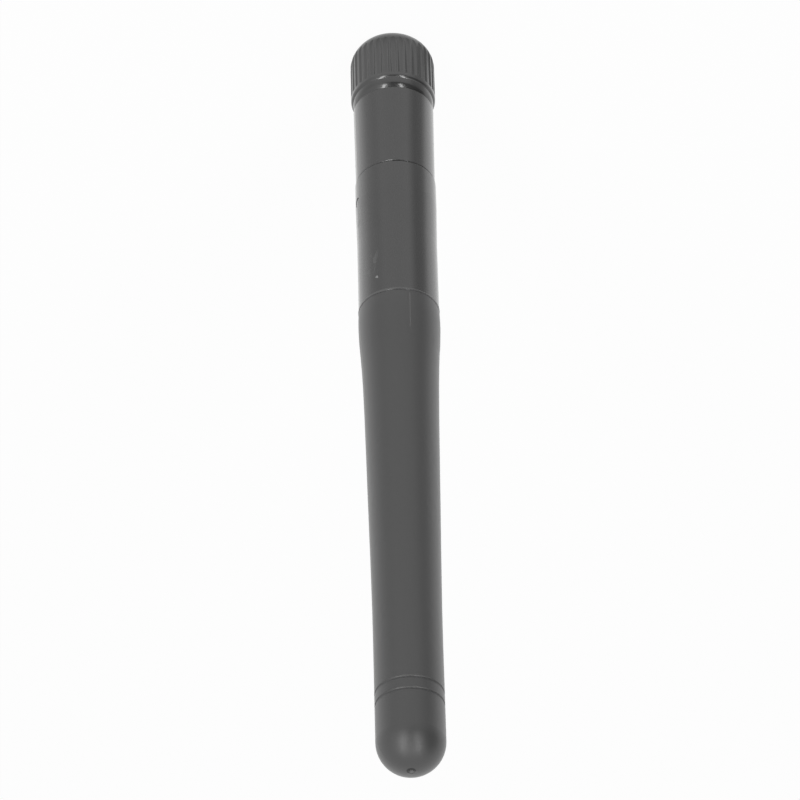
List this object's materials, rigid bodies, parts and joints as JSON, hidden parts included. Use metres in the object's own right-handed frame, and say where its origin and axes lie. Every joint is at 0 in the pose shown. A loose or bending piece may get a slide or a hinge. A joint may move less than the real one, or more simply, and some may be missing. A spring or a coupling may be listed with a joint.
{
  "type": "wifi antenna",
  "caption": "Straight folding stub antenna: fluted threaded coupling, gloss hinge barrels and a long matte tapered sleeve with a domed tip.",
  "frame": {"origin": "centre of the flat end of the fluted collar, where the antenna stands", "axes": "+Z along the antenna to the domed tip, X along the hinge pins, the antenna folds towards +Y"},
  "size_m": [0.0106, 0.0106, 0.1099],
  "materials": {
    "gloss_plastic": "moulded, glossy dark grey",
    "satin_plastic": "moulded, satin dark grey, fluted",
    "matte_elastomer": "soft matte dark grey",
    "plated_brass": "bright nickel plate",
    "gold_contact": "gold plate",
    "raw_brass": "drawn brass",
    "spring_steel": "ground steel",
    "white_dielectric": "waxy white",
    "natural_plastic": "uncoloured moulding",
    "washer_nylon": "uncoloured washer",
    "silicone": "soft",
    "cable_jacket": "extruded jacket",
    "shrink_tube": "shrunk tube"
  },
  "bodies": {
    "base": {"base_barrel": "gloss_plastic", "connector_body": "plated_brass", "snap_ring": "spring_steel", "sealing_ring": "silicone", "contact_insulator": "white_dielectric", "centre_contact": "gold_contact", "crimp_ferrule": "plated_brass", "coax_cable": "cable_jacket"},
    "coupling": {"grip_collar": "satin_plastic", "coupling_nut": "plated_brass"},
    "upper": {"hinge_housing": "gloss_plastic", "pivot_pin_left": "spring_steel", "pivot_pin_right": "spring_steel", "friction_washer_left": "washer_nylon", "friction_washer_right": "washer_nylon", "radome": "matte_elastomer", "lower_spacer": "natural_plastic", "dipole_sleeve": "raw_brass", "feed_insulator": "white_dielectric", "heat_shrink": "shrink_tube", "radiator_rod": "raw_brass", "upper_spacer": "natural_plastic"}
  },
  "joints": [
    {"name": "coupling_spin", "type": "hinge", "parent": "base", "child": "coupling", "pos_m": [0, 0, 0], "axis": [0, 0, 1], "continuous": true},
    {"name": "fold", "type": "hinge", "parent": "base", "child": "upper", "pos_m": [0, 0, 0.0258], "axis": [-1, 0, 0], "range_deg": [0, 90], "deforming": ["coax_cable"]}
  ]
}
